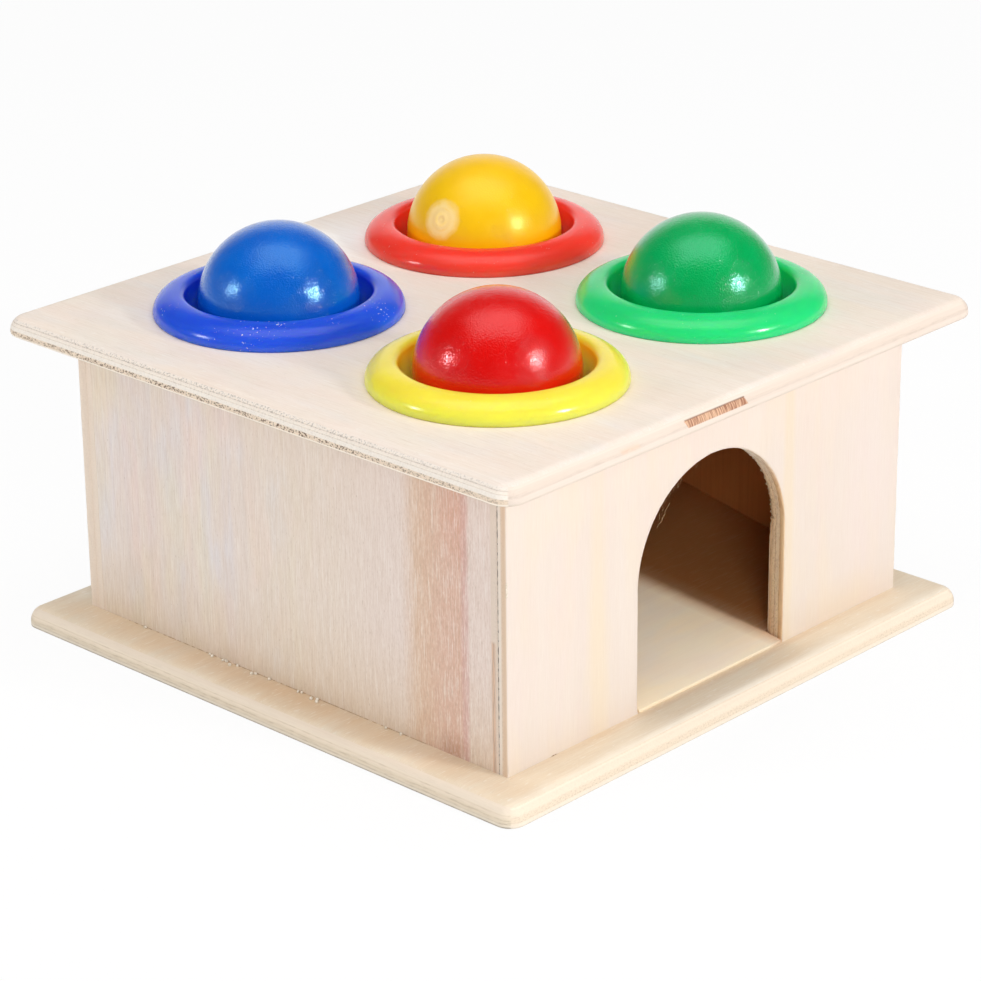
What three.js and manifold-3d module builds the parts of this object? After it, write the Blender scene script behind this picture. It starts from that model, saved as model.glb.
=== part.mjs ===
// Pounding bench: a square plywood box with an arched doorway and four painted balls on top.
// Each ball sits in an elastic ring. A knock pushes it through, and a ramp rolls it to the door.
// Millimetres, +Z up, origin under the middle of the base, doorway facing -Y.

import * as THREE from 'three';
import { mergeVertices } from 'three/addons/utils/BufferGeometryUtils.js';
import Module from 'manifold-3d';

// Boards: one plywood sheet for the two plates and the four walls
const boardThickness = 3.9;
const wallHeight = 58.6;
const topOverhang = 10.3;
const topCornerRadius = 4.2;
const topEdgeRound = 3;
const topUnderRound = 0.75;
const baseOverhang = 9.8;
const baseCornerRadius = 3.4;
const baseEdgeRound = 3;
const edgeRoundLimitShare = 0.77;
const underRoundLimitShare = 0.2;
const cornerLimitShare = 0.9;

// Doorway: straight sides under a half round
const doorWidth = 43.2;
const doorHeadroom = 12;

// Ramp: a bevelled board that lies on the base at the doorway and leans on the back wall
const rampThickness = 3;
const rampAngle = THREE.MathUtils.degToRad(10.4);
const rampNoseHeight = 0.65;
const rampClearance = 0.3;

// Balls
const ballRadius = 16;

// Rings: a crown above the top, a neck through its hole, and a bead with an inner lip below it
const mouthClearance = 2.35;
const mouthRound = 1.25;
const crownWidth = 5.2;
const crownHeight = 4.5;
const crownFootHeight = 0.6;
const crownGap = 9.1;
const throatClearance = 0.9;
const throatDepth = 1.2;
const neckWall = 1.7;
const neckClearance = 0.3;
const beadOverhang = 1.6;
const beadClearance = 0.3;
const beadHeight = 3.35;
const beadChamfer = 1.2;
const beadWallClearance = 4.25;
const lipGrip = 2;
const lipThickness = 1;
const lipRun = 1.9;
const seatGap = 0.3;

// Facets, and how far a cutting body runs past what it cuts
const cornerSteps = 5;
const edgeSteps = 5;
const doorSteps = 24;
const crownSteps = 8;
const mouthSteps = 4;
const ringSegments = 40;
const ballSegments = 28;
const ballRows = 16;
const cutOverrun = 2;

// Ring radii, and heights from the upper face of the top
const mouthRadius = ballRadius + mouthClearance;
const crestRadius = mouthRadius + mouthRound;
const crownRadius = crestRadius + crownWidth;
const throatRadius = ballRadius + throatClearance;
const neckRadius = throatRadius + neckWall;
const holeRadius = neckRadius + neckClearance;
const beadRadius = neckRadius + beadOverhang;
const beadTop = -boardThickness - beadClearance;
const beadFoot = beadTop - beadHeight;
const lipRadius = ballRadius - lipGrip;
const lipHeight = beadFoot + lipThickness;

// A ball rests on the lip, which sets how high its centre stands.
const seatDrop = Math.sqrt((ballRadius + seatGap) ** 2 - lipRadius ** 2);
const ballHeight = lipHeight + seatDrop;

// The box goes round the rings.
const ballSpacing = 2 * crownRadius + crownGap;
const roomSide = ballSpacing + 2 * (beadRadius + beadWallClearance);
const boxSide = roomSide + 2 * boardThickness;
const topSide = boxSide + 2 * topOverhang;
const baseSide = boxSide + 2 * baseOverhang;
const topUnderside = boardThickness + wallHeight;
const topFace = topUnderside + boardThickness;
const frontFace = -boxSide / 2;
const backInside = roomSide / 2;

const paint = {
  topPly: [0xf3e2cd, 0.55],
  basePly: [0xeeddc6, 0.55],
  wallPly: [0xeddcca, 0.6],
  rampPly: [0xe2d4c2, 0.65],
  blueBall: [0x0c55c8, 0.3],
  yellowBall: [0xf2bd12, 0.3],
  greenBall: [0x0d9350, 0.3],
  redBall: [0xd8101c, 0.3],
  blueRing: [0x2740cf, 0.25],
  redRing: [0xdf2420, 0.25],
  greenRing: [0x1fc25c, 0.25],
  yellowRing: [0xf4e233, 0.25],
};

const wasm = await Module();
wasm.setup();

// Turns a closed geometry into a solid that can be cut and joined.
function toSolid(geometry) {
  const bare = geometry.clone();
  bare.deleteAttribute('normal');
  bare.deleteAttribute('uv');
  const merged = mergeVertices(bare);
  return new wasm.Manifold(new wasm.Mesh({
    numProp: 3,
    vertProperties: new Float32Array(merged.attributes.position.array),
    triVerts: new Uint32Array(merged.index.array),
  }));
}

function toGeometry(solid) {
  const mesh = solid.getMesh();
  const geometry = new THREE.BufferGeometry();
  geometry.setAttribute('position', new THREE.BufferAttribute(mesh.vertProperties, 3));
  geometry.setIndex(new THREE.BufferAttribute(mesh.triVerts, 1));
  geometry.computeVertexNormals();
  return geometry;
}

// Outline of a square with rounded corners, drawn in by inset, at height z.
function roundedSquare(side, cornerRadius, inset, z) {
  const reach = side / 2 - cornerRadius;
  const radius = cornerRadius - inset;
  const points = [];
  for (let corner = 0; corner < 4; corner++) {
    const middle = Math.PI / 4 + (corner * Math.PI) / 2;
    const centreX = reach * Math.sign(Math.cos(middle));
    const centreY = reach * Math.sign(Math.sin(middle));
    for (let step = 0; step <= cornerSteps; step++) {
      const angle = (corner + step / cornerSteps) * (Math.PI / 2);
      points.push([centreX + radius * Math.cos(angle), centreY + radius * Math.sin(angle), z]);
    }
  }
  return points;
}

// Square plate from z = 0 upwards, with its upper and lower edges rounded.
function roundedPlate(side, cornerRadius, edgeRound, underRound) {
  const cornerLimit = cornerRadius * cornerLimitShare;
  const upper = Math.min(edgeRound, boardThickness * edgeRoundLimitShare, cornerLimit);
  const under = Math.min(underRound, boardThickness * underRoundLimitShare, cornerLimit);
  const levels = [];
  if (under > 0) {
    for (let step = 0; step < edgeSteps; step++) {
      const angle = (step / edgeSteps) * (Math.PI / 2);
      levels.push([under * (1 - Math.sin(angle)), under * (1 - Math.cos(angle))]);
    }
  }
  levels.push([0, under]);
  for (let step = 0; step <= edgeSteps; step++) {
    const angle = (step / edgeSteps) * (Math.PI / 2);
    levels.push([upper * (1 - Math.cos(angle)), boardThickness - upper * (1 - Math.sin(angle))]);
  }
  const outlines = levels.map(([inset, z]) => roundedSquare(side, cornerRadius, inset, z));
  const count = outlines[0].length;
  const positions = outlines.flat(2);
  positions.push(0, 0, 0, 0, 0, boardThickness);
  const bottomCentre = outlines.length * count;
  const topCentre = bottomCentre + 1;
  const lastRow = (outlines.length - 1) * count;
  const index = [];
  for (let i = 0; i < count; i++) {
    const next = (i + 1) % count;
    index.push(bottomCentre, next, i, topCentre, lastRow + i, lastRow + next);
    for (let row = 0; row < lastRow; row += count) {
      index.push(row + i, row + next, row + count + next);
      index.push(row + i, row + count + next, row + count + i);
    }
  }
  const geometry = new THREE.BufferGeometry();
  geometry.setAttribute('position', new THREE.Float32BufferAttribute(positions, 3));
  geometry.setIndex(index);
  geometry.computeVertexNormals();
  return geometry;
}

// The four places of balls, rings and holes, named by colour, with the side of each from the middle
const stations = [
  { ball: 'red', ring: 'yellow', sideX: -1, sideY: -1 },
  { ball: 'green', ring: 'green', sideX: 1, sideY: -1 },
  { ball: 'blue', ring: 'blue', sideX: -1, sideY: 1 },
  { ball: 'yellow', ring: 'red', sideX: 1, sideY: 1 },
];

function stationPlace({ sideX, sideY }) {
  return [(sideX * ballSpacing) / 2, (sideY * ballSpacing) / 2];
}

function topPlate() {
  let plate = toSolid(roundedPlate(topSide, topCornerRadius, topEdgeRound, topUnderRound));
  for (const station of stations) {
    const [x, y] = stationPlace(station);
    const length = boardThickness + 2 * cutOverrun;
    const hole = new THREE.CylinderGeometry(holeRadius, holeRadius, length, ringSegments);
    hole.rotateX(Math.PI / 2);
    hole.translate(x, y, boardThickness / 2);
    plate = plate.subtract(toSolid(hole));
  }
  return toGeometry(plate);
}

// Front wall, drawn in its own plane from its foot upwards, with the doorway open at the foot.
function doorPanel() {
  const halfDoor = doorWidth / 2;
  const springHeight = wallHeight - doorHeadroom - halfDoor;
  const shape = new THREE.Shape();
  shape.moveTo(-boxSide / 2, 0);
  shape.lineTo(-halfDoor, 0);
  shape.lineTo(-halfDoor, springHeight);
  shape.absarc(0, springHeight, halfDoor, Math.PI, 0, true);
  shape.lineTo(halfDoor, 0);
  shape.lineTo(boxSide / 2, 0);
  shape.lineTo(boxSide / 2, wallHeight);
  shape.lineTo(-boxSide / 2, wallHeight);
  const panel = new THREE.ExtrudeGeometry(shape, {
    depth: boardThickness,
    bevelEnabled: false,
    curveSegments: doorSteps,
  });
  panel.rotateX(Math.PI / 2);
  panel.translate(0, boardThickness, 0);
  return panel;
}

// Ramp: its side view pulled across the box, then cut to the plan of the room and the doorway.
function rampBoard() {
  const rise = Math.tan(rampAngle);
  const length = backInside - frontFace;
  const drop = rampThickness / Math.cos(rampAngle);
  const bevelLength = (drop - rampNoseHeight) / rise;
  const side = new THREE.Shape();
  side.moveTo(0, 0);
  side.lineTo(bevelLength, 0);
  side.lineTo(length, rampNoseHeight + length * rise - drop);
  side.lineTo(length, rampNoseHeight + length * rise);
  side.lineTo(0, rampNoseHeight);
  const rampWidth = roomSide - 2 * rampClearance;
  const slab = new THREE.ExtrudeGeometry(side, { depth: rampWidth, bevelEnabled: false });
  slab.rotateX(Math.PI / 2);
  slab.rotateZ(Math.PI / 2);
  slab.translate(-rampWidth / 2, 0, 0);

  const tongue = doorWidth / 2 - rampClearance;
  const shoulder = boardThickness + rampClearance;
  const plan = new THREE.Shape();
  plan.moveTo(-tongue, -cutOverrun);
  plan.lineTo(tongue, -cutOverrun);
  plan.lineTo(tongue, shoulder);
  plan.lineTo(rampWidth / 2 + cutOverrun, shoulder);
  plan.lineTo(rampWidth / 2 + cutOverrun, length + cutOverrun);
  plan.lineTo(-rampWidth / 2 - cutOverrun, length + cutOverrun);
  plan.lineTo(-rampWidth / 2 - cutOverrun, shoulder);
  plan.lineTo(-tongue, shoulder);
  const height = rampNoseHeight + length * rise + 2 * cutOverrun;
  const cutter = new THREE.ExtrudeGeometry(plan, { depth: height, bevelEnabled: false });
  cutter.translate(0, 0, -cutOverrun);
  return toGeometry(toSolid(slab).intersect(toSolid(cutter)));
}

// Elastic ring about the Z axis, with z = 0 on the upper face of the top. The outline runs over
// the crown, down through the mouth and throat to the lip, round the bead and up the neck.
function ringGeometry() {
  const crownReach = crownHeight - crownFootHeight;
  const outline = [];
  for (let step = 0; step <= crownSteps; step++) {
    const angle = (step / crownSteps) * (Math.PI / 2);
    const radius = crestRadius + crownWidth * Math.cos(angle);
    outline.push([radius, crownFootHeight + crownReach * Math.sin(angle)]);
  }
  for (let step = 1; step <= mouthSteps; step++) {
    const angle = (step / mouthSteps) * (Math.PI / 2);
    const radius = crestRadius - mouthRound * Math.sin(angle);
    outline.push([radius, crownHeight - mouthRound * (1 - Math.cos(angle))]);
  }
  outline.push([throatRadius, -throatDepth]);
  outline.push([lipRadius + lipRun, lipHeight + (lipRun * lipRadius) / seatDrop]);
  outline.push([lipRadius, lipHeight]);
  outline.push([lipRadius, beadFoot]);
  outline.push([beadRadius - beadChamfer, beadFoot]);
  outline.push([beadRadius, beadFoot + beadChamfer]);
  outline.push([beadRadius, beadTop]);
  outline.push([neckRadius, beadTop]);
  outline.push([neckRadius, 0]);
  outline.push([crownRadius, 0]);
  outline.push(outline[0]);
  const profile = outline.map(([radius, z]) => new THREE.Vector2(radius, z));
  const ring = new THREE.LatheGeometry(profile, ringSegments);
  ring.rotateX(Math.PI / 2);
  return ring;
}

function ballGeometry() {
  const ball = new THREE.SphereGeometry(ballRadius, ballSegments, ballRows);
  ball.rotateX(Math.PI / 2);
  return ball;
}

const group = new THREE.Group();

function add(name, geometry, [color, roughness], x, y, z) {
  const material = new THREE.MeshStandardMaterial({ color, roughness, metalness: 0 });
  const mesh = new THREE.Mesh(geometry, material);
  mesh.name = name;
  mesh.position.set(x, y, z);
  group.add(mesh);
}

const basePlate = roundedPlate(baseSide, baseCornerRadius, baseEdgeRound, 0);
add('base_plate', basePlate, paint.basePly, 0, 0, 0);
add('top_plate', topPlate(), paint.topPly, 0, 0, topUnderside);
add('front_panel', doorPanel(), paint.wallPly, 0, frontFace, boardThickness);

const wallMiddle = boardThickness + wallHeight / 2;
const wallOffset = (boxSide - boardThickness) / 2;
const backPanel = new THREE.BoxGeometry(boxSide, boardThickness, wallHeight);
add('back_panel', backPanel, paint.wallPly, 0, wallOffset, wallMiddle);
for (const [name, side] of [['left_panel', -1], ['right_panel', 1]]) {
  const sidePanel = new THREE.BoxGeometry(boardThickness, roomSide, wallHeight);
  add(name, sidePanel, paint.wallPly, side * wallOffset, 0, wallMiddle);
}

add('ramp_board', rampBoard(), paint.rampPly, 0, frontFace, boardThickness);

for (const station of stations) {
  const [x, y] = stationPlace(station);
  add(`${station.ring}_ring`, ringGeometry(), paint[`${station.ring}Ring`], x, y, topFace);
  add(`${station.ball}_ball`, ballGeometry(), paint[`${station.ball}Ball`], x, y, topFace + ballHeight);
}

export default group;
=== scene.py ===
# Pounding bench: a square plywood box toy with four painted balls in elastic rings on its top.
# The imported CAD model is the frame. Every board, ring and ball made here stands for its CAD node.
import math

import bmesh
import bpy
from mathutils import Matrix, Vector, noise
from mathutils.geometry import tessellate_polygon


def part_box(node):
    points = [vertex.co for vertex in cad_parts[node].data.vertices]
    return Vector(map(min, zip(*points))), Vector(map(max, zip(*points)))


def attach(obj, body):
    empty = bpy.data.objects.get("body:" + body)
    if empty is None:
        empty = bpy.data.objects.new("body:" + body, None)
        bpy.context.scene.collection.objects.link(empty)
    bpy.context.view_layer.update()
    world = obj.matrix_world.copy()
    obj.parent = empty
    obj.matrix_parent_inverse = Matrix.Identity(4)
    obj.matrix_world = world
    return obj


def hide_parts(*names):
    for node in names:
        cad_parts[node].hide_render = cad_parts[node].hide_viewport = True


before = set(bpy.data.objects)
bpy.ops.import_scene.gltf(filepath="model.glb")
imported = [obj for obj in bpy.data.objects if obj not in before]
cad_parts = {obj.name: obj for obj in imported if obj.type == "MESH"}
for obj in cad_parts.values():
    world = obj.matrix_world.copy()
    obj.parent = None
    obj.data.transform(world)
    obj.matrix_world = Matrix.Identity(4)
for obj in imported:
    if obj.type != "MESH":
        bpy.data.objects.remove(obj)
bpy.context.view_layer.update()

mm = 0.001
box = "box"  # the body that the boards and rings belong to


def boxOf(node):
    return [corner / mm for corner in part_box(node)]


def millimetres(values):
    return tuple(value * mm for value in values)


# Camera, where the photograph was taken from

camera = dict(
    azimuth=-46.56, elevation=22.33, roll=-0.61, distance=807.07, target=(62.13, 59.42, -8.22),
    lens=130.41, sensor=36, clip=(0.01, 50),
)


def directionTo(azimuth, elevation):
    a = math.radians(azimuth)
    e = math.radians(elevation)
    return Vector((math.sin(a) * math.cos(e), -math.cos(a) * math.cos(e), math.sin(e)))


def makeCamera():
    back = directionTo(camera["azimuth"], camera["elevation"])
    level = (-back).cross(Vector((0, 0, 1))).normalized()
    upright = level.cross(-back)
    roll = math.radians(camera["roll"])
    right = level * math.cos(roll) + upright * math.sin(roll)
    up = upright * math.cos(roll) - level * math.sin(roll)
    place = (Vector(camera["target"]) + back * camera["distance"]) * mm
    data = bpy.data.cameras.new("photoCamera")
    data.sensor_width = camera["sensor"]
    data.lens = camera["lens"]
    data.clip_start, data.clip_end = camera["clip"]
    made = bpy.data.objects.new("photoCamera", data)
    bpy.context.scene.collection.objects.link(made)
    made.matrix_world = Matrix.Translation(place) @ Matrix((right, up, back)).transposed().to_4x4()
    bpy.context.scene.camera = made


makeCamera()
print("camera made")


# Node trees, for materials and for Geometry Nodes


def colour(code):
    parts = [int(code[i:i + 2], 16) / 255 for i in (0, 2, 4)]
    linear = [p / 12.92 if p <= 0.04045 else ((p + 0.055) / 1.055) ** 2.4 for p in parts]
    return (*linear, 1)


def emptied(holder):
    # The cleared tree of a new material or world
    holder.use_nodes = True
    holder.node_tree.nodes.clear()
    return holder.node_tree


class Graph:
    # Adds nodes to a tree. Each input is a constant, a colour's code or the output of another node.

    def __init__(self, tree):
        self.tree = tree

    def feed(self, socket, value):
        if isinstance(value, bpy.types.NodeSocket):
            self.tree.links.new(value, socket)
        else:
            socket.default_value = colour(value) if isinstance(value, str) else value

    def add(self, kind, inputs=None, **settings):
        made = self.tree.nodes.new(kind)
        for key, value in settings.items():
            setattr(made, key, value)
        for key, value in (inputs or {}).items():
            self.feed(made.inputs[key], value)
        return made.outputs

    def maths(self, operation, *values):
        return self.add("ShaderNodeMath", dict(enumerate(values)), operation=operation)[0]

    def times(self, value, factor):
        return self.maths("MULTIPLY", value, factor)

    def scaled(self, value, factor, plus):
        return self.maths("MULTIPLY_ADD", value, factor, plus)

    def vectors(self, operation, first, second=None):
        inputs = {0: first}
        if second is not None:
            inputs["Scale" if operation == "SCALE" else 1] = second
        made = self.add("ShaderNodeVectorMath", inputs, operation=operation)
        return made["Value"] if operation in ("DISTANCE", "DOT_PRODUCT") else made[0]

    def split(self, vector):
        return dict(zip("XYZ", self.add("ShaderNodeSeparateXYZ", {0: vector})))

    def spread(self, value, low, high, toLow=0.0, toHigh=1.0):
        return self.add("ShaderNodeMapRange", {0: value, 1: low, 2: high, 3: toLow, 4: toHigh})[0]

    def mix(self, factor, under, over):
        # colours
        return self.add("ShaderNodeMix", {0: factor, 6: under, 7: over}, data_type="RGBA")[2]

    def mixValue(self, factor, under, over):
        return self.add("ShaderNodeMix", {0: factor, 2: under, 3: over})[0]

    def ramp(self, value, stops):
        made = self.add("ShaderNodeValToRGB", {0: value})[0]
        elements = made.node.color_ramp.elements
        while len(elements) < len(stops):
            elements.new(1)
        for element, (position, shade) in zip(elements, stops):
            element.position = position
            element.color = shade
        return made


grainCell = {
    # width and length of each kind of mark in millimetres, then its noise detail and roughness
    "figure": (9, 170, 3, 0.55),
    "band": (2.2, 90, 3, 0.6),
    "line": (0.36, 20, 3, 0.65),
    "fibre": (0.27, 5, 2, 0.6),
    "hair": (0.32, 11, 2, 0.6),
    "pore": (0.3, 1.0, 1, 0.5),
    "fleck": (0.5, 2.4, 1, 0.5),
    "cloud": (8, 22, 2, 0.5),
}


class Finish(Graph):
    # A material with one Principled shader, coloured by place on the object

    def __init__(self, name):
        self.material = bpy.data.materials.new(name)
        super().__init__(emptied(self.material))
        self.shader = self.tree.nodes.new("ShaderNodeBsdfPrincipled")
        self.add("ShaderNodeOutputMaterial", {"Surface": self.shader.outputs["BSDF"]})
        self.coords = self.add("ShaderNodeTexCoord")["Object"]

    def give(self, socket, value):
        self.feed(self.shader.inputs[socket], value)

    def bump(self, height, strength, distance, socket="Normal"):
        inputs = {"Height": height, "Strength": strength, "Distance": distance}
        self.give(socket, self.add("ShaderNodeBump", inputs)[0])

    def cells(self, cell, shift=(0, 0, 0), detail=2.0, roughness=0.5, distortion=0.0):
        # Noise whose cells have this size, in millimetres along X, Y and Z
        sizes = [cell] * 3 if isinstance(cell, (int, float)) else cell
        scale = [1 / (size * mm) for size in sizes]
        mapped = self.add("ShaderNodeMapping", {"Vector": self.coords, "Location": shift, "Scale": scale})[0]
        return self.add("ShaderNodeTexNoise", {"Vector": mapped, "Scale": 1, "Detail": detail,
                                               "Roughness": roughness, "Distortion": distortion})[0]

    def grain(self, axis, kind, shift):
        width, length, detail, roughness = grainCell[kind]
        cell = [length if letter == axis else width for letter in "XYZ"]
        return self.cells(cell, (shift, shift * 0.7, shift * 1.3), detail, roughness, 0.3)

    def patch(self, centre, size, soft, ragged):
        # 1 inside an oval patch and 0 outside, over a soft and ragged edge
        mapped = self.add("ShaderNodeMapping", {
            "Vector": self.coords,
            "Location": millimetres(centre),
            "Scale": millimetres(size),
        }, vector_type="TEXTURE")[0]
        inside = self.add("ShaderNodeTexGradient", {"Vector": mapped}, gradient_type="SPHERICAL")[1]
        edge = self.scaled(ragged, 0.5, -0.25)
        return self.spread(self.maths("ADD", inside, edge), 0.12, 0.12 + soft)

    def window(self, value, low, high, soft):
        # 1 between two places on an axis, in millimetres
        rise = self.spread(value, (low - soft) * mm, (low + soft) * mm)
        return self.times(rise, self.spread(value, (high - soft) * mm, (high + soft) * mm, 1, 0))

    def along(self, value, stops):
        # stops are (millimetres, share)
        low = stops[0][0]
        reach = stops[-1][0] - low
        greys = [((at - low) / reach, (share, share, share, 1)) for at, share in stops]
        return self.ramp(self.spread(value, low * mm, (low + reach) * mm), greys)

    def plies(self, share, layers):
        shades = self.ramp(share, [(at, colour(code)) for at, code, _ in layers])
        return shades, self.ramp(share, [(at, (value, value, value, 1)) for at, _, value in layers])


# Plywood. Depth runs through the sheet from one face, and each layer has its colour and its
# grain: the face veneers run one way and the plies between them the other way.

veneerMarks = [
    # kind of mark, the noise where it starts and where it is full, its share and its colour
    ("line", 0.5, 0.78, "lineShare", "line"),
    ("fibre", 0.52, 0.72, "fibreShare", "line"),
    ("fibre", 0.46, 0.28, "fibreShare", "bright"),
    ("hair", 0.62, 0.7, "hairShare", "hair"),
    ("pore", 0.68, 0.76, "poreShare", "hair"),
    ("fleck", 0.64, 0.74, "fleckShare", "bright"),
]
cut = dict(
    through=0.28,  # size of a speck of end grain through the sheet, across the grain and along it
    across=0.45, along=2.6,
    waver=0.03,  # of the plies, as a share of the thickness
    seam=0.05,  # depth over which a veneer gives way to the plies
    pits=(0.52, 0.6), chips=(0.47, 0.4),
)


def veneerColour(g, sheet, place, mark):
    shift = sheet["shift"]
    veneer = g.mix(g.spread(mark["figure"], 0.3, 0.7), sheet["pale"], sheet["deep"])

    def lay(mask, code):
        nonlocal veneer
        veneer = g.mix(mask, veneer, code)

    for number, (tint, strength) in enumerate(sheet["tints"]):
        cloud = g.grain(sheet["grain"], "cloud", shift + 3 + number * 2.3)
        lay(g.spread(cloud, 0.48, 0.68, 0, strength), tint)
    lay(g.spread(mark["band"], 0.35, 0.75, 0, sheet["bandShare"]), sheet["band"])
    for axis, waver, lined, code, stops, *slant in sheet["streaks"]:
        across = g.maths("ADD", place[axis], g.scaled(mark["band"], waver * mm, -0.5 * waver * mm))
        for direction, lean in slant:
            across = g.scaled(place[direction], lean, across)
        mask = g.times(g.along(across, stops), g.spread(mark["fibre"], 0.35, 0.65, 1 - lined, 1 + lined))
        lay(g.maths("MINIMUM", mask, 1), code)
    for centre, size, soft, share, code in sheet["patches"]:
        lay(g.times(g.patch(centre, size, soft, mark["band"]), share), code)
    masks = {}
    for kind, low, high, share, code in veneerMarks:
        masks[kind] = g.spread(mark[kind], low, high, 0, sheet[share])
        if kind == "hair":
            masks[kind] = g.times(masks[kind], g.spread(g.cells(14, (shift, 0, 3)), 0.35, 0.65))
        lay(masks[kind], sheet[code])
    for axis, cell, stops in sheet["specks"]:
        grains = g.cells(cell, (shift, 8, 2), 1)
        reach = g.along(place[axis], stops)
        lay(g.times(g.spread(grains, 0.56, 0.68), reach), sheet["hair"])
        lay(g.times(g.spread(grains, 0.44, 0.34), reach), sheet["bright"])
    return veneer, masks


def cutColour(g, sheet, place, facing, share):
    # Plies between the veneers: end grain on two of the cut sides and long grain on the others
    shift = sheet["shift"]
    axis = sheet["through"]
    core = sheet["coreGrain"]
    other = "XYZ".replace(axis, "").replace(core, "")
    cell = {axis: cut["through"], other: cut["across"], core: cut["along"]}
    speck = g.cells([cell[letter] for letter in "XYZ"], (shift, 5, shift), 2, 0.6)
    streaky = g.grain(core, "line", shift + 9)
    lean = g.maths("SUBTRACT", g.maths("ABSOLUTE", facing[core]), g.maths("ABSOLUTE", facing[other]))
    endOn = g.spread(lean, -0.06, 0.06)
    if "openAcross" in sheet:
        inOpening = g.window(place[core], *sheet["openAcross"], 0.1)
        endOn = g.times(endOn, g.maths("SUBTRACT", 1, inOpening))
    waved = g.scaled(streaky, cut["waver"], g.maths("ADD", share, -cut["waver"] / 2))
    longWay = g.plies(waved, sheet["plies"])
    endWay = g.plies(waved, sheet.get("endPlies", sheet["plies"]))
    shade = g.mix(endOn, longWay[0], endWay[0])
    coarse = g.mixValue(endOn, longWay[1], endWay[1])
    shade = g.mix(g.spread(streaky, 0.4, 0.75, 0, 0.2), shade, sheet["line"])
    coarse = g.times(coarse, g.spread(g.cells(30, (7, shift, 2), 1), 0.3, 0.55, 0.5, 1))
    for direction, stops in sheet["calmer"]:
        coarse = g.times(coarse, g.along(place[direction], stops))
    dots = g.times(g.spread(speck, *cut["pits"]), coarse)
    shade = g.mix(dots, shade, sheet["pit"])
    shade = g.mix(g.times(g.spread(speck, *cut["chips"]), coarse), shade, sheet["chip"])
    for across, slant, low, high, within, soft, hatchCell, amount, code, hatchCode in sheet["inlays"]:
        mask = g.window(g.scaled(place["Z"], slant, place[across]), low, high, soft)
        for direction, reach in within.items():
            mask = g.times(mask, g.window(place[direction], *reach, soft))
        hatching = g.spread(g.cells(hatchCell, (shift, 3, 1), 1), 0.45, 0.6)
        shade = g.mix(g.times(mask, amount), shade, g.mix(hatching, code, hatchCode))
    return shade, g.scaled(dots, -2.5, g.times(speck, -0.8))


def plywood(name, sheet):
    g = Finish(name)
    axis = sheet["through"]
    thickness = sheet["thickness"]
    towards = sheet["towards"]
    place = g.split(g.coords)
    facing = g.split(g.add("ShaderNodeTexCoord")["Normal"])
    depth = g.scaled(place[axis], towards / mm, -towards * sheet["face"])
    mark = {kind: g.grain(sheet["grain"], kind, sheet["shift"]) for kind in grainCell if kind != "cloud"}
    veneer, masks = veneerColour(g, sheet, place, mark)
    plies, pits = cutColour(g, sheet, place, facing, g.maths("DIVIDE", depth, thickness))

    # The veneers are the outermost layers, and everything between them is a cut edge.
    outer, inner = sheet["veneer"]
    below = thickness - inner
    isCore = g.times(g.spread(depth, outer, outer + cut["seam"]),
                     g.spread(depth, below - cut["seam"], below, 1, 0))
    surface = g.mix(isCore, veneer, plies)
    # Faces inside the box are painted brown with darker lines: painted shade on the same wood, where the box
    # shades it.
    if "inside" in sheet:
        mask = g.spread(g.times(facing[axis], sheet["insideFacing"]), 0.6, 0.8)
        for direction in "XY".replace(axis, ""):
            mask = g.times(mask, g.window(place[direction], -room, room, 0.1))
        paintedInsideShade = g.mix(g.spread(mark["line"], 0.4, 0.75), sheet["inside"], sheet["insideShadeLine"])
        surface = g.mix(mask, surface, paintedInsideShade)
    g.give("Base Color", surface)
    rough = sheet["roughness"]
    g.give("Roughness", g.spread(mark["line"], 0.3, 0.7, rough - 0.06, rough + 0.06))
    g.give("Specular IOR Level", 0.35)
    grooves = g.scaled(masks["hair"], -1.2, g.times(mark["line"], -0.5))
    grooves = g.scaled(masks["pore"], -1.0, grooves)
    grooves = g.scaled(mark["fibre"], -0.7, grooves)
    g.bump(g.mixValue(isCore, grooves, pits), 0.6, 0.03 * mm)
    return g.material


topLow, topHigh = (corner.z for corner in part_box("top_plate"))
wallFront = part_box("front_panel")[0].y / mm
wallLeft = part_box("left_panel")[0].x / mm
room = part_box("left_panel")[1].x / -mm  # half the inside width

# Layers of plies are (share of the thickness, colour, coarseness of the end grain). Patches are
# (centre, size, softness, share, colour). Streaks are (axis, waver, how lined, colour, stops and
# any slant). Inlays are (axis, slant, from, to, within, softness, cell of the hatching, share,
# colour, colour of the hatching). Specks are (axis, cell, stops), calmer is (axis, stops) and
# tints are (colour, strength). Stops are (millimetres, share).

birch = dict(
    thickness=(topHigh - topLow) / mm, tints=[("e9e9ea", 0.3), ("f6dccd", 0.25), ("eceadb", 0.25)],
    band="f3e4d0", bandShare=0.35, line="d9c3ad", lineShare=0.2, bright="fdf8f1", fibreShare=0.18,
    hair="a98f78", hairShare=0.12, poreShare=0.12, fleckShare=0.35, pit="5e4028", chip="f2e0cb",
    roughness=0.58, towards=1, streaks=[], specks=[], patches=[], inlays=[], calmer=[],
)

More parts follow.
